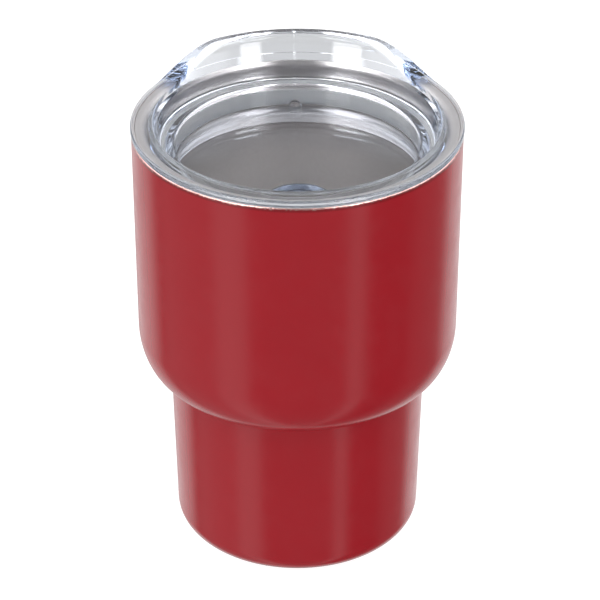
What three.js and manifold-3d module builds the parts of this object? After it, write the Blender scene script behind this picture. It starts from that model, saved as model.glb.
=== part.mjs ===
// A small double-wall stainless steel drinks tumbler with a clear press-in lid.
// Millimetres, +Z up. The origin is the centre of the face the cup stands on.
// The lid's raised sip lip is towards +Y and its drink opening is towards -Y.
import * as THREE from "three";
import { mergeVertices } from "three/addons/utils/BufferGeometryUtils.js";
import Module from "manifold-3d";

const wasm = await Module();
wasm.setup();

// ---- driving dimensions ------------------------------------------------------------------

const CUP_HEIGHT = 75; // base to mouth
const MOUTH_R = 27; // outer radius at the mouth
const UPPER_FOOT_R = 26.7; // outer radius just above the step
const LOWER_TOP_R = 21.4; // outer radius just below the step
const LOWER_FOOT_R = 20.7; // outer radius just above the foot
const STEP_LOW_Z = 31;
const STEP_HIGH_Z = 39.1;
const FOOT_ROUND = 3.4; // radius between the lower wall and the underside
const STEP_ROUND = 0.6; // small hollow radius under the step
const SHEET = 0.6; // steel sheet of every drawn piece
const VACUUM = 1.4; // evacuated space between the two walls
const GAP = 0.3; // clearance between pieces that meet
const FOOT_LIFT = 0.15; // the shell's hem stands this much above the base cover
const HEM_R = 16.9; // inner radius of the shell's hem

const LINER_MOUTH_R = 24.4; // inner radius of the drinking space at the mouth
const LINER_FOOT_R = LOWER_FOOT_R - SHEET - VACUUM - SHEET;
const LINER_NECK_R = LOWER_TOP_R - SHEET - VACUUM - SHEET;
const LINER_SHOULDER_R = UPPER_FOOT_R - SHEET - VACUUM - SHEET;
const LINER_NECK_Z = STEP_LOW_Z + 2.4; // height of the corner below the inner wall's step
const LINER_SHOULDER_Z = STEP_HIGH_Z + 0.6; // height of the corner above it
const LINER_NECK_ROUND = 2;
const LINER_SHOULDER_ROUND = 4;
const MOUTH_ROUND = 1.3; // radius where the inner wall rolls over the mouth
const WELD_Z = 10.8; // lower edge of the inner wall, where its bottom is welded on
const LINER_FLOOR_Z = 7.6; // underside of the inner wall's bottom

const COVER_WALL = 2.6; // height of the base cover's wall
const VACUUM_BASE_Z = 3.9; // underside of the disc that closes the vacuum
const PAN_WALL = 2.3; // height of that disc's turned-up wall
const DIMPLE_DEPTH = 1; // the recess round the evacuation hole
const DIMPLE_R = 3;
const HOLE_R = 0.8; // evacuation hole
const BEAD_R = 2.2; // glass bead over the hole
const BEAD_DROP = 1;
const GETTER_R = 3;
const GETTER_HEIGHT = 1.2;
const GETTER_X = 10; // how far the getter stands from the axis
const CLIP_WIDTH = 2.4;
const CLIP_SHEET = 0.3;
const CLIP_FOOT = 1.2; // length of each welded foot

const LID_FLANGE_Z = CUP_HEIGHT + GAP; // underside of the lid's flange
const LID_TOP_Z = CUP_HEIGHT + 1.15; // top of the flange where it is low
const LIP_RISE = 3.5; // extra height of the sip lip
const LIP_FULL_ANGLE = 29; // degrees from the middle of the lip to the end of its full height
const LIP_END_ANGLE = 60; // degrees from the middle of the lip to where it has run out
const LIP_LEAN = 1.4; // how much further out the lip's inner edge stands than the low rim's
const LIP_ROUND = 1.2; // how much rounder the lip's inner edge is than the low rim's
const LID_OUTER_R = 27.1;
const LID_MOUTH_R = 23.4; // inner radius at the top of the low rim
const LID_RECESS_R = 20; // inner radius of the lid's recess
const LID_LEDGE_Z = CUP_HEIGHT - 2.4; // the ledge round the recess
const LID_LEDGE_R = 22.4;
const LID_WAIST_R = 22.9; // where the steep wall of the mouth turns into the leaning lip
const LID_WAIST_Z = CUP_HEIGHT + 0.2;
const LID_FLOOR_Z = CUP_HEIGHT - 6.2; // top of the recess floor
const LID_FLOOR_SHEET = 1.4;
const LID_SKIRT_Z = CUP_HEIGHT - 11.2; // lower edge of the lid
const LID_PLUG_R = 24.1; // the plug inside the mouth
const LID_NECK_R = 21.5; // bottom of the gasket's groove
const LID_SKIRT_R = 20.5; // inner radius of the skirt under the floor
const LEAD_IN = 2; // height of the slope that lets the skirt into the mouth
const DRAFT = 0.1; // how much a moulded wall leans so that it leaves its mould
const GROOVE_TOP_Z = CUP_HEIGHT - 3.8;
const GROOVE_LOW_Z = CUP_HEIGHT - 8;
const GROOVE_DEPTH = 1.4; // how far the skirt's collar stands out under the gasket
const GASKET_BODY = 1.4; // thickness of the gasket between its sealing lips
const GASKET_LIP = 0.8; // height from a lip's root to its edge
const DRINK_R = 5.5; // drink opening
const DRINK_Y = -13.6;
const PIP_R = 1.15; // moulded pip in the corner of the recess, under the lip
const PIP_Y = 19;

const TURN = 48; // steps round a steel piece
const FINE_TURN = 60; // steps round the lid
const SMALL_TURN = 24; // steps round a small piece
const FINE_ROUND = 0.5; // corners smaller than this take fewer steps

const RED = 0x9c262d;
const STEEL = 0x8f8b88;
const DULL_STEEL = 0x6f6d6c;
const CLEAR = 0xd3d8e2;
const MILKY = 0xd9dade;
const SEAL_GLASS = 0x3d4a45;
const TABLET_GREY = 0x4a4848;

// ---- outlines ----------------------------------------------------------------------------

const radians = THREE.MathUtils.degToRad;

// Corners along an ellipse, from one angle to the other in degrees.
function arc(centreR, centreZ, spanR, spanZ, from, to, steps) {
  const corners = [];
  for (let step = 0; step <= steps; step++) {
    const angle = radians(from + ((to - from) * step) / steps);
    corners.push([centreR + spanR * Math.cos(angle), centreZ + spanZ * Math.sin(angle), 0]);
  }
  return corners;
}

// The points of an outline given as [radius from the axis, height, corner radius] corners.
function outline(corners) {
  const points = [];
  corners.forEach(([r, z, round], index) => {
    const here = new THREE.Vector2(r, z);
    if (round === 0) {
      points.push(here);
      return;
    }
    const [beforeR, beforeZ] = corners[(index + corners.length - 1) % corners.length];
    const [afterR, afterZ] = corners[(index + 1) % corners.length];
    const back = new THREE.Vector2(beforeR, beforeZ).sub(here).normalize();
    const ahead = new THREE.Vector2(afterR, afterZ).sub(here).normalize();
    const half = Math.acos(back.dot(ahead)) / 2;
    const centre = back.clone().add(ahead).setLength(round / Math.sin(half)).add(here);
    const start = back.setLength(round / Math.tan(half)).add(here);
    const end = ahead.setLength(round / Math.tan(half)).add(here);
    const steps = round < FINE_ROUND ? 2 : 3;
    const from = start.clone().sub(centre).angle();
    let sweep = end.clone().sub(centre).angle() - from;
    if (sweep > Math.PI) sweep -= 2 * Math.PI;
    if (sweep < -Math.PI) sweep += 2 * Math.PI;
    for (let step = 0; step <= steps; step++) {
      const angle = from + (sweep * step) / steps;
      points.push(new THREE.Vector2(Math.cos(angle), Math.sin(angle)).multiplyScalar(round).add(centre));
    }
  });
  return points;
}

// An outline turned round the Z axis. A ring's outline closes on itself. Any other outline
// starts and ends on the axis.
function turned(points, steps, isRing) {
  const around = THREE.ShapeUtils.isClockWise(points) ? points.toReversed() : points;
  const closed = isRing ? [...around, around[0]] : around;
  return new THREE.LatheGeometry(closed, steps).rotateX(Math.PI / 2);
}

// ---- joining and cutting -----------------------------------------------------------------

function toSolid(geometry) {
  const bare = geometry.clone();
  bare.deleteAttribute("normal");
  bare.deleteAttribute("uv");
  const merged = mergeVertices(bare);
  const corners = merged.index.array;
  const faces = [];
  for (let start = 0; start < corners.length; start += 3) {
    const [a, b, c] = corners.slice(start, start + 3);
    if (a !== b && b !== c && c !== a) faces.push(a, b, c);
  }
  return new wasm.Manifold(
    new wasm.Mesh({
      numProp: 3,
      vertProperties: new Float32Array(merged.attributes.position.array),
      triVerts: new Uint32Array(faces),
    }),
  );
}

function toGeometry(solid) {
  const mesh = solid.getMesh();
  const geometry = new THREE.BufferGeometry();
  geometry.setAttribute("position", new THREE.BufferAttribute(mesh.vertProperties, 3));
  geometry.setIndex(new THREE.BufferAttribute(mesh.triVerts, 1));
  geometry.computeVertexNormals();
  return geometry;
}

function piece(name, geometry, color, roughness, metalness) {
  const material = new THREE.MeshStandardMaterial({ color, roughness, metalness });
  const mesh = new THREE.Mesh(geometry, material);
  mesh.name = name;
  return mesh;
}

// ---- the cup -----------------------------------------------------------------------------

// The shell's face that lies a given depth inside its outer face, from the hem up to the mouth.
function shellFace(depth) {
  const footR = LOWER_FOOT_R - FOOT_ROUND;
  const footZ = FOOT_LIFT + FOOT_ROUND;
  const footSpan = FOOT_ROUND - depth;
  const hollowR = LOWER_TOP_R + STEP_ROUND;
  const hollowSpan = STEP_ROUND + depth;
  const shoulderR = UPPER_FOOT_R - hollowR - depth;
  const shoulderZ = STEP_HIGH_Z - STEP_LOW_Z - depth;
  return [
    [HEM_R, FOOT_LIFT + depth, 0],
    ...arc(footR, footZ, footSpan, footSpan, -90, 0, 5),
    ...arc(hollowR, STEP_LOW_Z - STEP_ROUND, hollowSpan, hollowSpan, 180, 90, 3),
    ...arc(hollowR, STEP_HIGH_Z, shoulderR, shoulderZ, -90, 0, 7).slice(1),
    [MOUTH_R - depth, CUP_HEIGHT, depth === 0 ? GAP : 0],
  ];
}

// The outer wall, wide above and narrow below, hemmed in under the foot.
function outerShell() {
  const corners = [...shellFace(0), ...shellFace(SHEET).reverse()];
  return piece("outer_shell", turned(outline(corners), TURN, true), RED, 0.25, 0.1);
}

// The inner wall, rolled outwards over the mouth until it meets the shell.
function innerLiner() {
  const rollR = MOUTH_R - SHEET - GAP;
  const rollZ = CUP_HEIGHT - SHEET;
  const corners = [
    [LINER_FOOT_R, WELD_Z, 0],
    [LINER_NECK_R, LINER_NECK_Z, LINER_NECK_ROUND],
    [LINER_SHOULDER_R, LINER_SHOULDER_Z, LINER_SHOULDER_ROUND],
    [LINER_MOUTH_R, CUP_HEIGHT, MOUTH_ROUND],
    [rollR, CUP_HEIGHT, 0.2],
    [rollR, rollZ, 0],
    [LINER_MOUTH_R + SHEET, rollZ, MOUTH_ROUND - SHEET],
    [LINER_SHOULDER_R + SHEET, LINER_SHOULDER_Z - SHEET / 2, LINER_SHOULDER_ROUND],
    [LINER_NECK_R + SHEET, LINER_NECK_Z - SHEET / 2, LINER_NECK_ROUND],
    [LINER_FOOT_R + SHEET, WELD_Z, 0],
  ];
  return piece("inner_liner", turned(outline(corners), TURN, true), STEEL, 0.4, 1);
}

// The dished disc welded to the foot of the inner wall.
function linerBottom() {
  const wallR = LINER_FOOT_R + SHEET;
  const corners = [
    [0, LINER_FLOOR_Z, 0],
    [wallR, LINER_FLOOR_Z, 2.4],
    [wallR, WELD_Z - GAP, 0],
    [LINER_FOOT_R, WELD_Z - GAP, 0],
    [LINER_FOOT_R, LINER_FLOOR_Z + SHEET, 1.8],
    [0, LINER_FLOOR_Z + SHEET, 0],
  ];
  return piece("liner_bottom", turned(outline(corners), TURN, false), STEEL, 0.4, 1);
}

// The pan that closes the evacuated space, with a recessed evacuation hole at its middle.
function vacuumBase() {
  const wallR = LOWER_FOOT_R - SHEET - GAP;
  const raisedZ = VACUUM_BASE_Z + DIMPLE_DEPTH;
  const corners = [
    [HOLE_R, raisedZ, 0],
    [DIMPLE_R, raisedZ, 0],
    [DIMPLE_R + DIMPLE_DEPTH, VACUUM_BASE_Z, 0],
    [wallR, VACUUM_BASE_Z, 1],
    [wallR, VACUUM_BASE_Z + PAN_WALL, 0],
    [wallR - SHEET, VACUUM_BASE_Z + PAN_WALL, 0],
    [wallR - SHEET, VACUUM_BASE_Z + SHEET, 0.4],
    [DIMPLE_R + DIMPLE_DEPTH, VACUUM_BASE_Z + SHEET, 0],
    [DIMPLE_R, raisedZ + SHEET, 0],
    [HOLE_R, raisedZ + SHEET, 0],
  ];
  return piece("vacuum_base", turned(outline(corners), TURN, true), DULL_STEEL, 0.5, 1);
}

// The glass bead melted into the recess, with a neck that fills the evacuation hole.
function sealBead() {
  const ceilingZ = VACUUM_BASE_Z + DIMPLE_DEPTH - GAP;
  const neckR = HOLE_R - GAP;
  const corners = [
    ...arc(0, ceilingZ, BEAD_R, BEAD_DROP, -90, 0, 4),
    [neckR, ceilingZ, 0],
    [neckR, ceilingZ + GAP + SHEET, 0],
    [0, ceilingZ + GAP + SHEET, 0],
  ];
  return piece("seal_bead", turned(outline(corners), SMALL_TURN, false), SEAL_GLASS, 0.1, 0);
}

// The pressed tablet that soaks up the last of the gas.
function getter() {
  const tablet = new THREE.CylinderGeometry(GETTER_R, GETTER_R, GETTER_HEIGHT, SMALL_TURN);
  const mesh = piece("getter", tablet.rotateX(Math.PI / 2), TABLET_GREY, 0.8, 0.4);
  mesh.position.set(GETTER_X, 0, VACUUM_BASE_Z + SHEET + GAP + GETTER_HEIGHT / 2);
  return mesh;
}

// The sprung strip over the tablet, with a welded foot at each end.
function getterClip() {
  const underside = GETTER_HEIGHT + GAP;
  const legX = GETTER_R + GAP;
  const footX = legX + CLIP_SHEET + CLIP_FOOT;
  const strip = new THREE.Shape([
    new THREE.Vector2(-footX, 0),
    new THREE.Vector2(-legX, 0),
    new THREE.Vector2(-legX, underside),
    new THREE.Vector2(legX, underside),
    new THREE.Vector2(legX, 0),
    new THREE.Vector2(footX, 0),
    new THREE.Vector2(footX, CLIP_SHEET),
    new THREE.Vector2(legX + CLIP_SHEET, CLIP_SHEET),
    new THREE.Vector2(legX + CLIP_SHEET, underside + CLIP_SHEET),
    new THREE.Vector2(-legX - CLIP_SHEET, underside + CLIP_SHEET),
    new THREE.Vector2(-legX - CLIP_SHEET, CLIP_SHEET),
    new THREE.Vector2(-footX, CLIP_SHEET),
  ]);
  const geometry = new THREE.ExtrudeGeometry(strip, { depth: CLIP_WIDTH, bevelEnabled: false });
  geometry.translate(0, 0, -CLIP_WIDTH / 2).rotateX(Math.PI / 2).rotateZ(Math.PI / 2);
  const mesh = piece("getter_clip", geometry, DULL_STEEL, 0.4, 1);
  mesh.position.set(GETTER_X, 0, VACUUM_BASE_Z + SHEET + GAP);
  return mesh;
}

// The shallow pan that covers the seal. The cup stands on its flat face.
function baseCover() {
  const wallR = HEM_R - GAP;
  const corners = [
    [0, 0, 0],
    [wallR, 0, 0.8],
    [wallR, COVER_WALL, 0],
    [wallR - SHEET, COVER_WALL, 0],
    [wallR - SHEET, SHEET, 0.4],
    [0, SHEET, 0],
  ];
  return piece("base_cover", turned(outline(corners), TURN, false), DULL_STEEL, 0.35, 1);
}

// ---- the lid -----------------------------------------------------------------------------

// How much of the lip's rise stands at an angle from the middle of the lip, from 0 to 1.
function lipShare(degrees) {
  const fallen = (degrees - LIP_FULL_ANGLE) / (LIP_END_ANGLE - LIP_FULL_ANGLE);
  return 1 - THREE.MathUtils.smoothstep(fallen, 0, 1);
}

// The lid's section where a share of the lip stands, from the axis over the top and back.
function lidSection(share) {
  const topZ = LID_TOP_Z + LIP_RISE * share;
  const corners = [
    [0, LID_FLOOR_Z, 0],
    [LID_RECESS_R - DRAFT, LID_FLOOR_Z, 0.4],
    [LID_RECESS_R, LID_LEDGE_Z, 0.4],
    [LID_LEDGE_R, LID_LEDGE_Z, 0.7],
    [LID_WAIST_R, LID_WAIST_Z, 0.8],
    [LID_MOUTH_R + LIP_LEAN * share, topZ, 0.6 + LIP_ROUND * share],
    [LID_OUTER_R - DRAFT * share, topZ, 0.5],
    [LID_OUTER_R, LID_FLANGE_Z, 0],
    [LID_PLUG_R, LID_FLANGE_Z, 0],
    [LID_PLUG_R - 2 * DRAFT, GROOVE_TOP_Z, 0],
    [LID_NECK_R, GROOVE_TOP_Z, 0],
    [LID_NECK_R, GROOVE_LOW_Z, 0],
    [LID_NECK_R + GROOVE_DEPTH, GROOVE_LOW_Z, 0],
    [LID_NECK_R + GROOVE_DEPTH - DRAFT, LID_SKIRT_Z + LEAD_IN, 0.3],
    [LID_SKIRT_R, LID_SKIRT_Z, 0.2],
    [LID_SKIRT_R - DRAFT, LID_FLOOR_Z - LID_FLOOR_SHEET, 0],
    [0, LID_FLOOR_Z - LID_FLOOR_SHEET, 0],
  ];
  return outline(corners).reverse();
}

// The section turned round the axis, with its rim raised over the lip's angles.
function lidBlank() {
  const geometry = new THREE.LatheGeometry(lidSection(0), FINE_TURN).rotateX(Math.PI / 2);
  const position = geometry.attributes.position;
  const ringSize = position.count / (FINE_TURN + 1);
  for (let turn = 0; turn <= FINE_TURN; turn++) {
    const fromFront = (360 * (turn % FINE_TURN)) / FINE_TURN;
    const angle = radians(fromFront);
    lidSection(lipShare(Math.abs(180 - fromFront))).forEach((point, index) => {
      const x = point.x * Math.sin(angle);
      const y = -point.x * Math.cos(angle);
      position.setXYZ(turn * ringSize + index, x, y, point.y);
    });
  }
  return geometry;
}

// The clear moulded lid: the blank with its drink opening and its moulded pip.
function lid() {
  const drill = new THREE.CylinderGeometry(DRINK_R, DRINK_R, 4 * LID_FLOOR_SHEET, SMALL_TURN);
  drill.rotateX(Math.PI / 2).translate(0, DRINK_Y, LID_FLOOR_Z);
  const pip = new THREE.SphereGeometry(PIP_R, 12, 8).translate(0, PIP_Y, LID_FLOOR_Z + DRAFT);
  const solid = toSolid(lidBlank()).subtract(toSolid(drill)).add(toSolid(pip));
  return piece("lid", toGeometry(solid), CLEAR, 0.05, 0);
}

// The silicone ring in the lid's groove, with two sealing lips.
function lidGasket() {
  const innerR = LID_NECK_R + GAP;
  const bodyR = innerR + GASKET_BODY;
  const lipR = LINER_MOUTH_R - GAP;
  const topZ = GROOVE_TOP_Z - GAP;
  const lowZ = GROOVE_LOW_Z + GAP;
  const corners = [
    [innerR, lowZ, 0],
    [bodyR, lowZ, 0],
    [lipR, lowZ + GASKET_LIP, 0.2],
    [bodyR, lowZ + 2 * GASKET_LIP, 0],
    [bodyR, topZ - 2 * GASKET_LIP, 0],
    [lipR, topZ - GASKET_LIP, 0.2],
    [bodyR, topZ, 0],
    [innerR, topZ, 0],
  ];
  return piece("lid_gasket", turned(outline(corners), TURN, true), MILKY, 0.4, 0);
}

const cup = new THREE.Group();
cup.add(outerShell(), innerLiner(), linerBottom(), vacuumBase(), sealBead());
cup.add(getter(), getterClip(), baseCover(), lidGasket(), lid());

export default cup;
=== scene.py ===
"""A small double-wall steel drinks tumbler with a clear press-in lid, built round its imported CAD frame.

Metres, +Z up, and the cup stands on z = 0. The lid's raised sip lip is towards +Y.
Outlines are written in millimetres, as (radius, height, corner radius) corners.
"""

import math

import bmesh
import bpy
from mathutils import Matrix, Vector


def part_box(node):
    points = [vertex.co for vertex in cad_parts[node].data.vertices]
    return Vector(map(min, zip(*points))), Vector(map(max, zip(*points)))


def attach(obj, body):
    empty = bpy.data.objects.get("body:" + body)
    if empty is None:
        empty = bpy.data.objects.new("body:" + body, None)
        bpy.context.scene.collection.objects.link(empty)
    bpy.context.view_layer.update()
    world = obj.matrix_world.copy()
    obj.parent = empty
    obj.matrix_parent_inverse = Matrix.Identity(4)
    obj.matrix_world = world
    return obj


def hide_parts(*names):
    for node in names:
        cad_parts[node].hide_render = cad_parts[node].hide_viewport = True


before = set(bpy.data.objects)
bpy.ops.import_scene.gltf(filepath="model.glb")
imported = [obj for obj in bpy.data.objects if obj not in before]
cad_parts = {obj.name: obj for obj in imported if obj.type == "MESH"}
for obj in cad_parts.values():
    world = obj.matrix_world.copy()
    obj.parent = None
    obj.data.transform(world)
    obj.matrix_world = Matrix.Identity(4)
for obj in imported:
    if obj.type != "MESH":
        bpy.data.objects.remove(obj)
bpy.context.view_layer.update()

MM = 0.001


def top_of(node):
    """Height of a CAD node's top, in millimetres."""
    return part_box(node)[1].z / MM


def foot_of(node):
    """Height of a CAD node's lowest point, in millimetres."""
    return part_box(node)[0].z / MM


def radius_of(node):
    """Outer radius of a CAD node, in millimetres."""
    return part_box(node)[1].x / MM


# ---- driving dimensions, in millimetres -----------------------------------------------------

CUP_HEIGHT = top_of("outer_shell")
MOUTH_R = radius_of("outer_shell")
FOOT_LIFT = foot_of("outer_shell")
UPPER_FOOT_R = MOUTH_R - 0.3  # outer radius just above the step
LOWER_TOP_R = MOUTH_R - 5.6  # outer radius just below the step
LOWER_FOOT_R = MOUTH_R - 6.3  # outer radius just above the foot
STEP_LOW_Z = 31.0  # where the narrow part ends
STEP_HIGH_Z = 39.1  # where the wide part's wall ends
FOOT_ROUND = 3.4
STEP_ROUND = 0.6  # hollow corner under the wide part
SHEET = 0.6  # thickness of the steel
VACUUM = 1.4  # gap between the walls
GAP = 0.3  # clearance between pieces
COVER_R = radius_of("base_cover")
COVER_WALL = top_of("base_cover")
COVER_ROUND = 0.8
HEM_R = COVER_R + GAP

LINER_MOUTH_R = 24.4
LINER_ROLL = 1.3  # radius the mouth is rolled to
LINER_EDGE_ROUND = 0.2
LINER_NECK_ROUND = 2
LINER_SHOULDER_ROUND = 4
LINER_FOOT_ROUND = 2.4
WELD_SEAM = 0.03  # what shows of the welded joint between the two walls
LINER_WALL = 2 * SHEET + VACUUM  # from the cup's outer face to the drinking space
LINER_NECK_Z = STEP_LOW_Z + 2.4
LINER_SHOULDER_Z = STEP_HIGH_Z + 0.6
WELD_Z = foot_of("inner_liner")  # where the inner wall meets its bottom disc
LINER_FLOOR_Z = foot_of("liner_bottom")

LID_OUTER_R = radius_of("lid")
LID_FLANGE_Z = CUP_HEIGHT + 0.12  # pressed home
LID_TOP_Z = CUP_HEIGHT + 1.15
LIP_RISE = top_of("lid") - LID_TOP_Z
LIP_FULL_ANGLE = 29.0  # degrees from the lip's middle to where it starts to fall
LIP_END_ANGLE = 60.0  # degrees from the lip's middle to where it has fallen to the rim
LIP_LEAN = 1.4  # how far the lip's inner face leans outwards
LIP_ROUND = 1.2  # how much rounder the lip's inner edge is than the low rim's
LID_RIM_ROUND = 0.6  # the low rim's inner edge
LID_EDGE_ROUND = 0.4
LID_LEDGE_ROUND = 0.7
LID_WAIST_ROUND = 0.8
LID_FLANGE_ROUND = 0.08  # crisp edges round the flange's underside
LID_GROOVE_ROUND = 0.1
LID_LEAD_ROUND = 0.3
LID_SKIRT_ROUND = 0.2
LID_CORNER_STEPS = 10  # the same in every section, so that neighbouring sections match
LID_MOUTH_R = 23.4
LID_RECESS_R = 20.0
LID_LEDGE_Z = CUP_HEIGHT - 2.4
LID_LEDGE_R = 22.4
LID_WAIST_R = 22.9  # where the steep wall of the mouth turns into the leaning lip
LID_WAIST_Z = CUP_HEIGHT + 0.2
LID_FLOOR_Z = CUP_HEIGHT - 6.2
LID_FLOOR_SHEET = 1.4
LID_SKIRT_Z = foot_of("lid")
LID_PLUG_R = 24.1
LID_NECK_R = 21.5
LID_SKIRT_R = 20.5
LEAD_IN = 2.0  # height of the slope that lets the skirt into the mouth
DRAFT = 0.1  # how far a moulded wall leans, so that it leaves its mould
GROOVE_TOP_Z = CUP_HEIGHT - 3.8
GROOVE_LOW_Z = CUP_HEIGHT - 8.0
GROOVE_DEPTH = 1.4
GASKET_BODY = 1.4  # thickness of the ring without its lips
GASKET_LIP = 0.8  # half the height of a lip
GASKET_ROUND = 0.2  # edge of a lip
GASKET_INNER_ROUND = 0.15
GASKET_OUTER_ROUND = 0.1
DRINK_R = 5.5
DRINK_Y = -13.6
DRINK_ROUND = 0.35  # radius moulded on both edges of the drink opening
PIP_R = 1.15  # small moulded pip in the corner of the recess, under the lip
PIP_Y = 19.0

COAT_END_Z = CUP_HEIGHT - 0.34  # the coat stops here, and the rolled edge above is bare steel, its pink colour a painted highlight
COAT_RAGGED = 0.16  # how far the coat's broken end strays up and down
SHADE_LINE_HEIGHT = 0.55  # height of the dark line painted under the coat's end, a painted shadow under the rolled bead
COAT_WORN_Z = CUP_HEIGHT - 0.12  # clean steel from here up

STEEL_STEPS = 192  # steps round a steel piece
LID_STEPS = 360  # steps round the lid, fine enough for clean refraction
SMALL_STEPS = 64  # steps round a small round tool
FOOT_STEPS = 16
HOLLOW_STEPS = 10
SHOULDER_STEPS = 28
DRINK_STEPS = 6
PIP_STEPS = 16
ARC_STEP = math.radians(9)  # turn between two points of a rounded corner
SMOOTH_LIMIT = math.radians(32)  # edges that turn more than this stay crisp

# ---- mesh helpers ---------------------------------------------------------------------------


def arc(centre_r, centre_z, span_r, span_z, start, end, steps):
    """Corners along part of an ellipse, from one angle to the other in degrees."""
    corners = []
    for step in range(steps + 1):
        angle = math.radians(start + (end - start) * step / steps)
        corners.append((centre_r + span_r * math.cos(angle), centre_z + span_z * math.sin(angle), 0))
    return corners


def rounded_corner(before, corner, after, radius):
    """Points on the arc that rounds a corner."""
    here = Vector(corner)
    back = (Vector(before) - here).normalized()
    ahead = (Vector(after) - here).normalized()
    half = math.acos(max(-1.0, min(1.0, back.dot(ahead)))) / 2
    centre = here + (back + ahead).normalized() * (radius / math.sin(half))
    start = here + back * (radius / math.tan(half)) - centre
    end = here + ahead * (radius / math.tan(half)) - centre
    first = math.atan2(start.y, start.x)
    sweep = (math.atan2(end.y, end.x) - first + math.pi) % (2 * math.pi) - math.pi
    steps = max(3, round((math.pi - 2 * half) / ARC_STEP))
    points = []
    for step in range(steps + 1):
        angle = first + sweep * step / steps
        points.append((centre.x + radius * math.cos(angle), centre.y + radius * math.sin(angle)))
    return points


def even_corner(before, corner, after, radius):
    """A rounded corner with a fixed number of points, so that every section matches the next."""
    points = rounded_corner(before, corner, after, radius)
    even = []
    for step in range(LID_CORNER_STEPS + 1):
        place = step * (len(points) - 1) / LID_CORNER_STEPS
        low = min(int(place), len(points) - 2)
        part = place - low
        even.append(tuple(a + (b - a) * part for a, b in zip(points[low], points[low + 1])))
    return even


def outline(corners, make_corner=rounded_corner):
    """The points of an outline of (radius, height, corner radius) corners."""
    points = []
    for index, (r, z, radius) in enumerate(corners):
        if radius == 0:
            points.append((r, z))
            continue
        before = corners[index - 1][:2]
        after = corners[(index + 1) % len(corners)][:2]
        points.extend(make_corner(before, (r, z), after, radius))
    return points


def add_ring(mesh, points, angle_of, steps, index):
    """Vertices of one outline point turned round the axis, or a single one on the axis."""
    if points[0][index][0] == 0:
        return [mesh.verts.new((0, 0, points[0][index][1] * MM))]
    ring = []
    for step in range(steps):
        r, z = points[step][index]
        angle = angle_of(step)
        ring.append(mesh.verts.new((r * math.sin(angle) * MM, r * math.cos(angle) * MM, z * MM)))
    return ring


def join_rings(mesh, lower, upper):
    """Faces between two neighbouring rings, either of which may be a point on the axis."""
    count = max(len(lower), len(upper))
    for step in range(count):
        following = (step + 1) % count
        corners = [lower[step % len(lower)], lower[following % len(lower)]]
        corners += [upper[following % len(upper)], upper[step % len(upper)]]
        mesh.faces.new(list(dict.fromkeys(corners)))


def turned(name, section_at, steps, is_ring):
    """A piece whose section at each angle round the axis is section_at(degrees from +Y)."""

    def angle_of(step):
        return 2 * math.pi * step / steps

    mesh = bmesh.new()
    points = [section_at(math.degrees(angle_of(step))) for step in range(steps)]
    rings = [add_ring(mesh, points, angle_of, steps, index) for index in range(len(points[0]))]
    pairs = list(zip(rings, rings[1:]))
    if is_ring:
        pairs.append((rings[-1], rings[0]))
    for lower, upper in pairs:
        if len(lower) > 1 or len(upper) > 1:
            join_rings(mesh, lower, upper)
    bmesh.ops.recalc_face_normals(mesh, faces=mesh.faces)
    return as_object(name, mesh)


def as_object(name, mesh):
    """A smooth-shaded object made from a bmesh, which is freed."""
    data = bpy.data.meshes.new(name)
    mesh.to_mesh(data)
    mesh.free()
    smooth(data)
    piece = bpy.data.objects.new(name, data)
    bpy.context.scene.collection.objects.link(piece)
    return piece


def smooth(data):
    """Shades a mesh smooth, but for its crisp edges."""
    for face in data.polygons:
        face.use_smooth = True
    data.set_sharp_from_angle(angle=SMOOTH_LIMIT)


def combine(piece, tool, operation):
    """Cuts a tool out of a piece or joins it on, and removes the tool."""
    modifier = piece.modifiers.new(operation.lower(), "BOOLEAN")
    modifier.operation = operation
    modifier.object = tool
    modifier.solver = "EXACT"
    bpy.context.view_layer.update()
    evaluated = piece.evaluated_get(bpy.context.evaluated_depsgraph_get())
    data = bpy.data.meshes.new_from_object(evaluated)
    piece.modifiers.clear()
    piece.data = data
    smooth(data)
    bpy.data.objects.remove(tool)


# ---- the cup --------------------------------------------------------------------------------


def shell_face(depth):
    """The shell's face a given depth inside its outer face, from the hem up to the mouth."""
    foot_span = FOOT_ROUND - depth
    hollow_r = LOWER_TOP_R + STEP_ROUND
    hollow_span = STEP_ROUND + depth
    shoulder_r = UPPER_FOOT_R - hollow_r - depth
    shoulder_z = STEP_HIGH_Z - STEP_LOW_Z - depth
    corners = [(HEM_R, FOOT_LIFT + depth, 0)]
    foot_r = LOWER_FOOT_R - FOOT_ROUND
    corners += arc(foot_r, FOOT_LIFT + FOOT_ROUND, foot_span, foot_span, -90, 0, FOOT_STEPS)
    hollow_z = STEP_LOW_Z - STEP_ROUND
    corners += arc(hollow_r, hollow_z, hollow_span, hollow_span, 180, 90, HOLLOW_STEPS)
    corners += arc(hollow_r, STEP_HIGH_Z, shoulder_r, shoulder_z, -90, 0, SHOULDER_STEPS)[1:]
    corners.append((MOUTH_R - depth, CUP_HEIGHT, GAP if depth == 0 else 0))
    return corners


def outer_shell():
    """The coated outer wall."""
    points = outline(shell_face(0) + shell_face(SHEET)[::-1])
    return turned("outer_shell_fine", lambda degrees: points, STEEL_STEPS, True)


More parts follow.
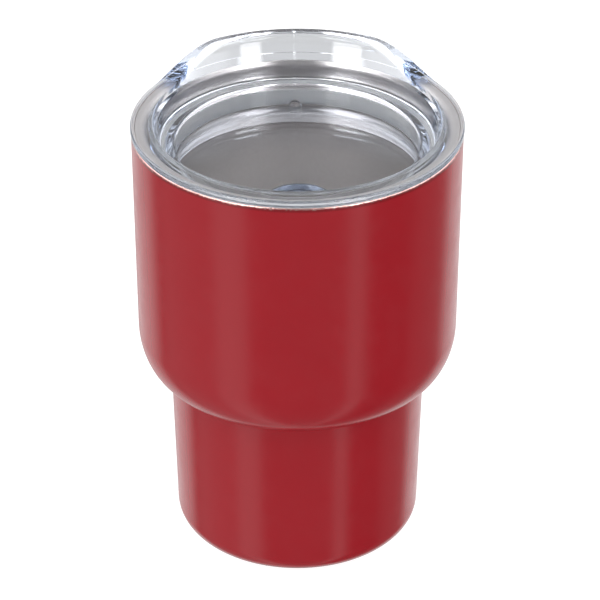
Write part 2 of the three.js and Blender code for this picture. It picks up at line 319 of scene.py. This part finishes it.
def inner_liner():
    """The inner wall, rolled over the mouth."""
    foot_r = LOWER_FOOT_R - LINER_WALL
    neck_r = LOWER_TOP_R - LINER_WALL
    shoulder_r = UPPER_FOOT_R - LINER_WALL
    roll_r = MOUTH_R - SHEET - WELD_SEAM
    roll_z = CUP_HEIGHT - SHEET
    points = outline(
        [
            (foot_r, WELD_Z, 0),
            (neck_r, LINER_NECK_Z, LINER_NECK_ROUND),
            (shoulder_r, LINER_SHOULDER_Z, LINER_SHOULDER_ROUND),
            (LINER_MOUTH_R, CUP_HEIGHT, LINER_ROLL),
            (roll_r, CUP_HEIGHT, LINER_EDGE_ROUND),
            (roll_r, roll_z, 0),
            (LINER_MOUTH_R + SHEET, roll_z, LINER_ROLL - SHEET),
            (shoulder_r + SHEET, LINER_SHOULDER_Z - SHEET / 2, LINER_SHOULDER_ROUND),
            (neck_r + SHEET, LINER_NECK_Z - SHEET / 2, LINER_NECK_ROUND),
            (foot_r + SHEET, WELD_Z, 0),
        ]
    )
    return turned("inner_liner_fine", lambda degrees: points, STEEL_STEPS, True)


def liner_bottom():
    """The dished disc that closes the inner wall."""
    inner_r = LOWER_FOOT_R - LINER_WALL
    wall_r = inner_r + SHEET
    points = outline(
        [
            (0, LINER_FLOOR_Z, 0),
            (wall_r, LINER_FLOOR_Z, LINER_FOOT_ROUND),
            (wall_r, WELD_Z - GAP, 0),
            (inner_r, WELD_Z - GAP, 0),
            (inner_r, LINER_FLOOR_Z + SHEET, LINER_FOOT_ROUND - SHEET),
            (0, LINER_FLOOR_Z + SHEET, 0),
        ]
    )
    return turned("liner_bottom_fine", lambda degrees: points, STEEL_STEPS, False)


def base_cover():
    """The pan the cup stands on."""
    points = outline(
        [
            (0, 0, 0),
            (COVER_R, 0, COVER_ROUND),
            (COVER_R, COVER_WALL, 0),
            (COVER_R - SHEET, COVER_WALL, 0),
            (COVER_R - SHEET, SHEET, COVER_ROUND / 2),
            (0, SHEET, 0),
        ]
    )
    return turned("base_cover_fine", lambda degrees: points, STEEL_STEPS, False)


# ---- the lid --------------------------------------------------------------------------------


def lip_share(degrees):
    """How much of the lip's rise stands at an angle from its middle, from 0 to 1."""
    away = min(degrees, 360 - degrees)
    fallen = min(1.0, max(0.0, (away - LIP_FULL_ANGLE) / (LIP_END_ANGLE - LIP_FULL_ANGLE)))
    return 1 - fallen * fallen * (3 - 2 * fallen)


def lid_section(degrees):
    """The lid's section at an angle from the middle of the lip, over the top and back."""
    share = lip_share(degrees)
    top_z = LID_TOP_Z + LIP_RISE * share
    underside_z = LID_FLOOR_Z - LID_FLOOR_SHEET
    corners = [
        (0, LID_FLOOR_Z, 0),
        (LID_RECESS_R - DRAFT, LID_FLOOR_Z, LID_EDGE_ROUND),
        (LID_RECESS_R, LID_LEDGE_Z, LID_EDGE_ROUND),
        (LID_LEDGE_R, LID_LEDGE_Z, LID_LEDGE_ROUND),
        (LID_WAIST_R, LID_WAIST_Z, LID_WAIST_ROUND),
        (LID_MOUTH_R + LIP_LEAN * share, top_z, LID_RIM_ROUND + LIP_ROUND * share),
        (LID_OUTER_R - DRAFT * share, top_z, LID_EDGE_ROUND),
        (LID_OUTER_R, LID_FLANGE_Z, LID_FLANGE_ROUND),
        (LID_PLUG_R, LID_FLANGE_Z, LID_FLANGE_ROUND),
        (LID_PLUG_R - 2 * DRAFT, GROOVE_TOP_Z, LID_GROOVE_ROUND),
        (LID_NECK_R, GROOVE_TOP_Z, LID_GROOVE_ROUND),
        (LID_NECK_R, GROOVE_LOW_Z, LID_GROOVE_ROUND),
        (LID_NECK_R + GROOVE_DEPTH, GROOVE_LOW_Z, LID_GROOVE_ROUND),
        (LID_NECK_R + GROOVE_DEPTH - DRAFT, LID_SKIRT_Z + LEAD_IN, LID_LEAD_ROUND),
        (LID_SKIRT_R, LID_SKIRT_Z, LID_SKIRT_ROUND),
        (LID_SKIRT_R - DRAFT, underside_z, LID_SKIRT_ROUND),
        (0, underside_z, 0),
    ]
    return outline(corners, even_corner)


def opening_tool():
    """What the drink opening is cut with: a plug that flares at both faces of the lid's floor."""
    low = LID_FLOOR_Z - LID_FLOOR_SHEET
    past = 1  # how far the tool runs past both faces
    flared = DRINK_R + DRINK_ROUND
    corners = [(0, low - past, 0), (flared, low - past, 0)]
    corners += arc(flared, low + DRINK_ROUND, DRINK_ROUND, DRINK_ROUND, -90, -180, DRINK_STEPS)
    corners += arc(flared, LID_FLOOR_Z - DRINK_ROUND, DRINK_ROUND, DRINK_ROUND, 180, 90, DRINK_STEPS)
    corners += [(flared, LID_FLOOR_Z + past, 0), (0, LID_FLOOR_Z + past, 0)]
    points = outline(corners)
    tool = turned("opening_tool", lambda degrees: points, SMALL_STEPS, False)
    tool.location.y = DRINK_Y * MM
    tool.rotation_euler.z = math.pi / SMALL_STEPS  # no corner on the lid's own edges
    return tool


def pip_tool():
    """The small moulded pip at the back of the recess."""
    centre_z = LID_FLOOR_Z + DRAFT
    half_circle = arc(0, centre_z, PIP_R, PIP_R, -90, 90, PIP_STEPS)
    points = [(0, half_circle[0][1])]
    points += [(r, z) for r, z, _ in half_circle[1:-1]]
    points.append((0, half_circle[-1][1]))
    steps = SMALL_STEPS // 2
    tool = turned("pip_tool", lambda degrees: points, steps, False)
    tool.location.y = PIP_Y * MM
    tool.rotation_euler.z = math.pi / steps  # no corner on the lid's own edges
    return tool


def lid():
    """The clear moulded lid with its drink opening and its pip."""
    piece = turned("lid_fine", lid_section, LID_STEPS, False)
    combine(piece, opening_tool(), "DIFFERENCE")
    combine(piece, pip_tool(), "UNION")
    flat_faces = piece.modifiers.new("flat_faces_stay_flat", "WEIGHTED_NORMAL")
    flat_faces.weight = 100
    flat_faces.keep_sharp = True
    return piece


def lid_gasket():
    """The silicone ring in the lid's groove."""
    inner_r = LID_NECK_R + GAP
    body_r = inner_r + GASKET_BODY
    lip_r = LINER_MOUTH_R - GAP
    top_z = GROOVE_TOP_Z - GAP
    low_z = GROOVE_LOW_Z + GAP
    points = outline(
        [
            (inner_r, low_z, GASKET_INNER_ROUND),
            (body_r, low_z, GASKET_OUTER_ROUND),
            (lip_r, low_z + GASKET_LIP, GASKET_ROUND),
            (body_r, low_z + 2 * GASKET_LIP, GASKET_ROUND),
            (body_r, top_z - 2 * GASKET_LIP, GASKET_ROUND),
            (lip_r, top_z - GASKET_LIP, GASKET_ROUND),
            (body_r, top_z, GASKET_OUTER_ROUND),
            (inner_r, top_z, GASKET_INNER_ROUND),
        ]
    )
    return turned("lid_gasket_fine", lambda degrees: points, STEEL_STEPS, True)


# ---- material helpers -----------------------------------------------------------------------


class Shader:
    """A material's nodes, with short ways to add the ones used here."""

    def __init__(self, name, color, roughness, metallic=0.0):
        self.material = bpy.data.materials.new(name)
        self.material.use_nodes = True
        self.tree = self.material.node_tree
        self.surface = self.tree.nodes["Principled BSDF"]
        self.set("Base Color", (*color, 1))
        self.set("Roughness", roughness)
        self.set("Metallic", metallic)
        coordinates = self.tree.nodes.new("ShaderNodeTexCoord")
        self.place = coordinates.outputs["Object"]

    def set(self, socket, value):
        self.surface.inputs[socket].default_value = value

    def feed(self, output, socket):
        self.tree.links.new(output, self.surface.inputs[socket])

    def put(self, value, socket):
        """Gives a socket a number or another node's output."""
        if isinstance(value, (int, float)):
            socket.default_value = value
        else:
            self.tree.links.new(value, socket)

    def math(self, operation, first, second=0.0, clamp=False):
        node = self.tree.nodes.new("ShaderNodeMath")
        node.operation = operation
        node.use_clamp = clamp
        self.put(first, node.inputs[0])
        self.put(second, node.inputs[1])
        return node.outputs[0]

    def stretched(self, scale):
        """Object coordinates scaled by (x, y, z), so that a texture's grain runs one way."""
        node = self.tree.nodes.new("ShaderNodeMapping")
        self.tree.links.new(self.place, node.inputs["Vector"])
        node.inputs["Scale"].default_value = scale
        return node.outputs[0]

    def noise(self, size, detail=2.0, vector=None):
        """Noise from 0 to 1 whose blotches are about size metres across."""
        node = self.tree.nodes.new("ShaderNodeTexNoise")
        self.tree.links.new(vector or self.place, node.inputs["Vector"])
        node.inputs["Scale"].default_value = 1 / size
        node.inputs["Detail"].default_value = detail
        return node.outputs["Fac"]

    def spread(self, value, low, high, to_low, to_high):
        """Maps a value smoothly from one range to another."""
        node = self.tree.nodes.new("ShaderNodeMapRange")
        node.interpolation_type = "SMOOTHSTEP"
        self.put(value, node.inputs["Value"])
        for name, number in zip(("From Min", "From Max", "To Min", "To Max"), (low, high, to_low, to_high)):
            node.inputs[name].default_value = number
        return node.outputs["Result"]

    def blend(self, share, first, second):
        """Mixes two colours."""
        node = self.tree.nodes.new("ShaderNodeMix")
        node.data_type = "RGBA"
        self.put(share, node.inputs["Factor"])
        node.inputs["A"].default_value = (*first, 1)
        node.inputs["B"].default_value = (*second, 1)
        return node.outputs["Result"]

    def over(self, share, below, above):
        """Lays a colour over another node's colour."""
        mixed = self.blend(share, (0, 0, 0), above)
        self.tree.links.new(below, mixed.node.inputs["A"])
        return mixed

    def part(self, axis):
        """One of the object coordinates."""
        node = self.tree.nodes.new("ShaderNodeSeparateXYZ")
        self.tree.links.new(self.place, node.inputs[0])
        return node.outputs[axis]

    def bump(self, height, depth, normal=None):
        """A bump whose full height is depth metres."""
        node = self.tree.nodes.new("ShaderNodeBump")
        node.inputs["Strength"].default_value = 1.0
        node.inputs["Distance"].default_value = depth
        self.tree.links.new(height, node.inputs["Height"])
        if normal is not None:
            self.tree.links.new(normal, node.inputs["Normal"])
        self.feed(node.outputs["Normal"], "Normal")
        return node.outputs["Normal"]

    def tint_depth(self, color, density):
        """Tints light by how far it runs inside the material, at a density per metre."""
        node = self.tree.nodes.new("ShaderNodeVolumeAbsorption")
        node.inputs["Color"].default_value = (*color, 1)
        node.inputs["Density"].default_value = density
        self.tree.links.new(node.outputs["Volume"], self.tree.nodes["Material Output"].inputs["Volume"])


# ---- materials ------------------------------------------------------------------------------


def red_coat():
    """Gloss powder coat: faint orange peel, handling haze and a broken, speckled end at the mouth, with a
    painted shadow line under it and a pink painted highlight on the bare edge above it.
    """
    shader = Shader("red_coat", (0.204, 0.0029, 0.0075), 0.22)
    shader.set("IOR", 1.5)
    height = shader.part("Z")
    clouds = shader.noise(9 * MM, 3)
    coat = shader.blend(clouds, (0.190, 0.0025, 0.0066), (0.206, 0.0030, 0.0075))
    # Painted shade: a darker band just under the coat's end stands for the shadow line under the rolled
    # bead.
    shade_line_low_z = (COAT_END_Z - SHADE_LINE_HEIGHT) * MM
    painted_shade_line = shader.spread(height, shade_line_low_z, shade_line_low_z + 0.2 * MM, 0, 0.75)
    coat = shader.over(painted_shade_line, coat, (0.10, 0.0014, 0.0035))
    stray = COAT_RAGGED * MM
    ragged = shader.spread(shader.noise(0.3 * MM, 2), 0.3, 0.7, -stray, stray)
    end_z = COAT_END_Z * MM
    bare_and_highlight = shader.spread(shader.math("ADD", height, ragged), end_z, end_z + 0.03 * MM, 0, 1)
    # Painted highlight: where the coat has ended the steel is bare, and its pink colour stands for the
    # bead's highlight.
    bare_edge_highlight = shader.over(bare_and_highlight, coat, (0.80, 0.48, 0.45))
    worn_z = COAT_WORN_Z * MM
    worn = shader.spread(height, worn_z, worn_z + 0.06 * MM, 0, 1)
    shader.feed(shader.over(worn, bare_edge_highlight, (0.74, 0.70, 0.69)), "Base Color")
    shader.feed(bare_and_highlight, "Metallic")
    haze = shader.noise(3 * MM, 4)
    shader.feed(shader.spread(haze, 0.3, 0.75, 0.20, 0.26), "Roughness")
    peel = shader.bump(shader.noise(1.1 * MM, 1), 0.0012 * MM)
    rim = shader.spread(height, (CUP_HEIGHT - 0.75) * MM, (CUP_HEIGHT - 0.3) * MM, 0, 1)
    grit = shader.math("MULTIPLY", rim, shader.noise(0.28 * MM, 2))
    shader.bump(grit, 0.06 * MM, peel)
    return shader.material


def satin_steel():
    """Bare steel inside the cup, with grain that runs round it and a few dull spots."""
    shader = Shader("satin_steel", (0.74, 0.70, 0.69), 0.34, 1.0)
    grain = shader.noise(1.0, 3, shader.stretched((60, 60, 9000)))
    mottle = shader.noise(0.5 * MM, 3)
    shader.feed(shader.blend(mottle, (0.61, 0.578, 0.57), (0.72, 0.685, 0.676)), "Base Color")
    shader.feed(shader.spread(grain, 0.25, 0.75, 0.30, 0.38), "Roughness")
    fine = shader.bump(grain, 0.004 * MM)
    shader.bump(mottle, 0.012 * MM, fine)
    return shader.material


def dull_steel():
    """Bare steel of the base cover and the pieces inside the wall."""
    shader = Shader("dull_steel", (0.42, 0.41, 0.405), 0.45, 1.0)
    grain = shader.noise(1.0, 3, shader.stretched((5000, 90, 5000)))
    stains = shader.noise(4 * MM, 4)
    shader.feed(shader.blend(stains, (0.37, 0.36, 0.355), (0.47, 0.46, 0.455)), "Base Color")
    shader.feed(shader.spread(stains, 0.3, 0.7, 0.38, 0.55), "Roughness")
    shader.bump(grain, 0.004 * MM)
    return shader.material


def seal_glass():
    """Dark solder glass with a slightly pitted face."""
    shader = Shader("seal_glass", (0.03, 0.045, 0.04), 0.12)
    shader.set("IOR", 1.6)
    pits = shader.noise(0.3 * MM, 3)
    shader.feed(shader.blend(pits, (0.025, 0.04, 0.034), (0.05, 0.07, 0.062)), "Base Color")
    shader.feed(shader.spread(pits, 0.4, 0.8, 0.08, 0.3), "Roughness")
    shader.bump(pits, 0.02 * MM)
    return shader.material


def pressed_powder():
    """Grey pressed metal powder."""
    shader = Shader("pressed_powder", (0.07, 0.068, 0.068), 0.8, 0.4)
    grains = shader.noise(0.12 * MM, 3)
    shader.feed(shader.blend(grains, (0.045, 0.044, 0.044), (0.11, 0.107, 0.105)), "Base Color")
    shader.feed(shader.spread(grains, 0.2, 0.8, 0.65, 0.92), "Roughness")
    shader.bump(grains, 0.03 * MM)
    return shader.material


def clear_plastic():
    """Clear moulded plastic: slight ripple, fine handling haze and a weld line at the back."""
    shader = Shader("clear_plastic", (0.97, 0.975, 0.985), 0.0)
    shader.set("IOR", 1.49)
    shader.set("Transmission Weight", 1.0)
    haze = shader.noise(2.5 * MM, 4)
    shader.feed(shader.spread(haze, 0.55, 0.85, 0.0, 0.05), "Roughness")
    ripple = shader.bump(shader.noise(5 * MM, 1), 0.010 * MM)
    across = shader.math("ABSOLUTE", shader.part("X"))
    line = shader.spread(across, 0.0, 0.22 * MM, 1, 0)
    behind = shader.spread(shader.part("Y"), 10 * MM, 12 * MM, 0, 1)
    shader.bump(shader.math("MULTIPLY", line, behind), 0.02 * MM, ripple)
    shader.tint_depth((0.74, 0.84, 1.0), 48)
    return shader.material


def clear_silicone():
    """Milky silicone with a satin face."""
    shader = Shader("clear_silicone", (0.86, 0.862, 0.865), 0.45)
    shader.set("IOR", 1.41)
    shader.set("Transmission Weight", 0.35)
    dust = shader.noise(0.6 * MM, 3)
    shader.feed(shader.blend(dust, (0.82, 0.823, 0.825), (0.90, 0.902, 0.903)), "Base Color")
    shader.feed(shader.spread(dust, 0.3, 0.7, 0.32, 0.5), "Roughness")
    shader.bump(dust, 0.006 * MM)
    return shader.material


def pale_floor():
    """The studio's white table, a little brighter than its light makes it."""
    shader = Shader("pale_floor", (0.25, 0.25, 0.25), 0.9)
    shader.set("Emission Color", (1, 1, 1, 1))
    shader.set("Emission Strength", 0.9)
    return shader.material


# ---- the studio -----------------------------------------------------------------------------

# What the coat and the lid reflect, as soft-edged cards on the studio's walls. All angles are in
# degrees: azimuth 0 is the camera's side, 90 is +X, and elevation is above the horizon.
# Each card is (azimuth, half width, soft edge, lowest, highest, brightness).
CARDS = (
    (180, 12, 10, -90, 0, 0.70),  # the sweep's foot straight behind, which the lip is seen against
    (148, 14, 20, -90, 0, 1.05),  # the sweep's foot on the right, in the coat's edge
    (-145, 16, 20, -90, 0, 1.0),  # the sweep's foot on the left
    (-80, 25, 12, -90, 0, 0.48),  # left fill
    (104, 14, 14, -90, 0, 0.26),  # right fill
    (-49, 9, 9, -90, 0, 0.96),  # left softbox, as the table carries it
    (41, 3.5, 7, -90, 0, 0.93),  # right softbox, as the table carries it
    (5, 40, 14, -90, 0, 0.29),  # the room behind the camera
    (180, 25, 15, 0, 80, 0.72),  # the sweep straight behind
    (150, 15, 30, 0, 60, 1.0),  # the sweep on the right
    (-150, 15, 30, 0, 60, 1.0),  # the sweep on the left
    (-95, 35, 20, 0, 60, 2.2),  # left bank of lights
    (95, 35, 20, 0, 60, 2.1),  # right bank of lights
    (0, 60, 15, 30, 60, 0.7),  # front bank of lights, over the camera
    (-62, 22, 12, 0, 30, 1.3),  # left scrim beside the camera
    (62, 22, 12, 0, 30, 1.0),  # right scrim beside the camera
    (-40, 9, 5, 6, 26, 8.0),  # left softbox
    (35, 6, 4, 6, 26, 8.0),  # right softbox
    (-40, 9, 5, 50, 66, 6.0),  # left softbox, upper panel
    (35, 6, 4, 50, 66, 6.0),  # right softbox, upper panel
)
ROOM_LEVEL = 0.12  # brightness between the cards
CEILING_LEVEL = 1.3
CEILING_START = 74  # elevation where the ceiling's soft edge starts
CEILING_SOFT = 10
CARD_SOFT_Z = 8  # soft edge of a card's top and bottom


class Studio(Shader):
    """The world's nodes, with the same short ways as a material's."""

    def __init__(self):
        world = bpy.data.worlds.new("studio")
        world.use_nodes = True
        bpy.context.scene.world = world
        self.tree = world.node_tree
        self.tree.nodes.clear()
        coordinates = self.tree.nodes.new("ShaderNodeTexCoord")
        self.place = coordinates.outputs["Generated"]

    def window(self, away, half, soft):
        """1 within half of the middle, falling to 0 over the soft edge, in degrees."""
        return self.spread(away, half, half + soft, 1, 0)


def card_light(studio, azimuth, elevation, card):
    """One card's light towards each direction."""
    middle, half, soft, lowest, highest, brightness = card
    offset = studio.math("SUBTRACT", azimuth, middle)
    wrapped = studio.math("WRAP", offset, 180.0)
    wrapped.node.inputs[2].default_value = -180.0
    across = studio.window(studio.math("ABSOLUTE", wrapped), half, soft)
    rise = studio.math("SUBTRACT", elevation, (lowest + highest) / 2)
    along = studio.window(studio.math("ABSOLUTE", rise), (highest - lowest) / 2, CARD_SOFT_Z)
    return studio.math("MULTIPLY", studio.math("MULTIPLY", across, along), brightness)


def make_studio():
    """A white backdrop to the camera, and the cards to everything else."""
    studio = Studio()
    x, y, z = (studio.part(axis) for axis in "XYZ")
    turn = studio.math("ARCTAN2", x, studio.math("MULTIPLY", y, -1.0))
    azimuth = studio.math("DEGREES", turn)
    elevation = studio.math("DEGREES", studio.math("ARCSINE", z))
    light = ROOM_LEVEL
    for card in CARDS:
        light = studio.math("MAXIMUM", light, card_light(studio, azimuth, elevation, card))
    ceiling = studio.spread(elevation, CEILING_START, CEILING_START + CEILING_SOFT, 0, CEILING_LEVEL)
    light = studio.math("MAXIMUM", light, ceiling)
    seen = studio.tree.nodes.new("ShaderNodeLightPath").outputs["Is Camera Ray"]
    light = studio.math("MAXIMUM", light, seen)
    background = studio.tree.nodes.new("ShaderNodeBackground")
    studio.put(light, background.inputs["Color"])
    output = studio.tree.nodes.new("ShaderNodeOutputWorld")
    studio.tree.links.new(background.outputs[0], output.inputs["Surface"])


FLOOR_SPAN = 3.0  # metres


def make_floor():
    """The table the cup stands on. Gloss sees the cards in its place."""
    mesh = bmesh.new()
    bmesh.ops.create_grid(mesh, x_segments=1, y_segments=1, size=FLOOR_SPAN)
    floor = as_object("floor", mesh)
    floor.data.materials.append(pale_floor())
    floor.visible_glossy = False
    floor.visible_transmission = False


CAMERA_AZIMUTH = -1.2  # degrees
CAMERA_ELEVATION = 31.12  # degrees
CAMERA_DISTANCE = 503.2 * MM
CAMERA_TARGET = Vector((0, 0, 42.2 * MM))
CAMERA_LENS = 180
CAMERA_SHIFT = 0.0043


def make_camera():
    """The camera, in front of the cup and looking down at it."""
    data = bpy.data.cameras.new("camera")
    data.lens = CAMERA_LENS
    data.shift_x = CAMERA_SHIFT
    camera = bpy.data.objects.new("camera", data)
    bpy.context.scene.collection.objects.link(camera)
    azimuth = math.radians(CAMERA_AZIMUTH)
    elevation = math.radians(CAMERA_ELEVATION)
    level = math.cos(elevation)
    back = Vector((level * math.sin(azimuth), -level * math.cos(azimuth), math.sin(elevation)))
    camera.location = CAMERA_TARGET + back * CAMERA_DISTANCE
    camera.rotation_euler = (-back).to_track_quat("-Z", "Y").to_euler()
    bpy.context.scene.camera = camera


# ---- assembly -------------------------------------------------------------------------------

RED_COAT = red_coat()
SATIN_STEEL = satin_steel()
DULL_STEEL = dull_steel()
CLEAR_PLASTIC = clear_plastic()
CLEAR_SILICONE = clear_silicone()

# Each fine piece, with the CAD node it stands for, its body, its material and its slot.
FINE_PIECES = (
    (outer_shell, "outer_shell", "cup", RED_COAT, "red_coat"),
    (inner_liner, "inner_liner", "cup", SATIN_STEEL, "satin_steel"),
    (liner_bottom, "liner_bottom", "cup", SATIN_STEEL, "satin_steel"),
    (base_cover, "base_cover", "cup", DULL_STEEL, "dull_steel"),
    (lid_gasket, "lid_gasket", "gasket", CLEAR_SILICONE, "clear_silicone"),
    (lid, "lid", "lid", CLEAR_PLASTIC, "clear_plastic"),
)
for build, node, body, material, slot in FINE_PIECES:
    piece = build()
    piece.data.materials.clear()
    piece.data.materials.append(material)
    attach(piece, body)
    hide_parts(node)

# The CAD nodes inside the wall stay as they are, with finished materials.
KEPT_NODES = {
    "vacuum_base": DULL_STEEL,
    "getter_clip": DULL_STEEL,
    "seal_bead": seal_glass(),
    "getter": pressed_powder(),
}
for node, material in KEPT_NODES.items():
    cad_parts[node].data.materials.clear()
    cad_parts[node].data.materials.append(material)

make_studio()
make_floor()
make_camera()
scene = bpy.context.scene
scene.view_settings.view_transform = "Standard"
# Light is turned back many times inside the clear lid before it leaves.
scene.cycles.max_bounces = 32
scene.cycles.transmission_bounces = 32
scene.cycles.glossy_bounces = 16
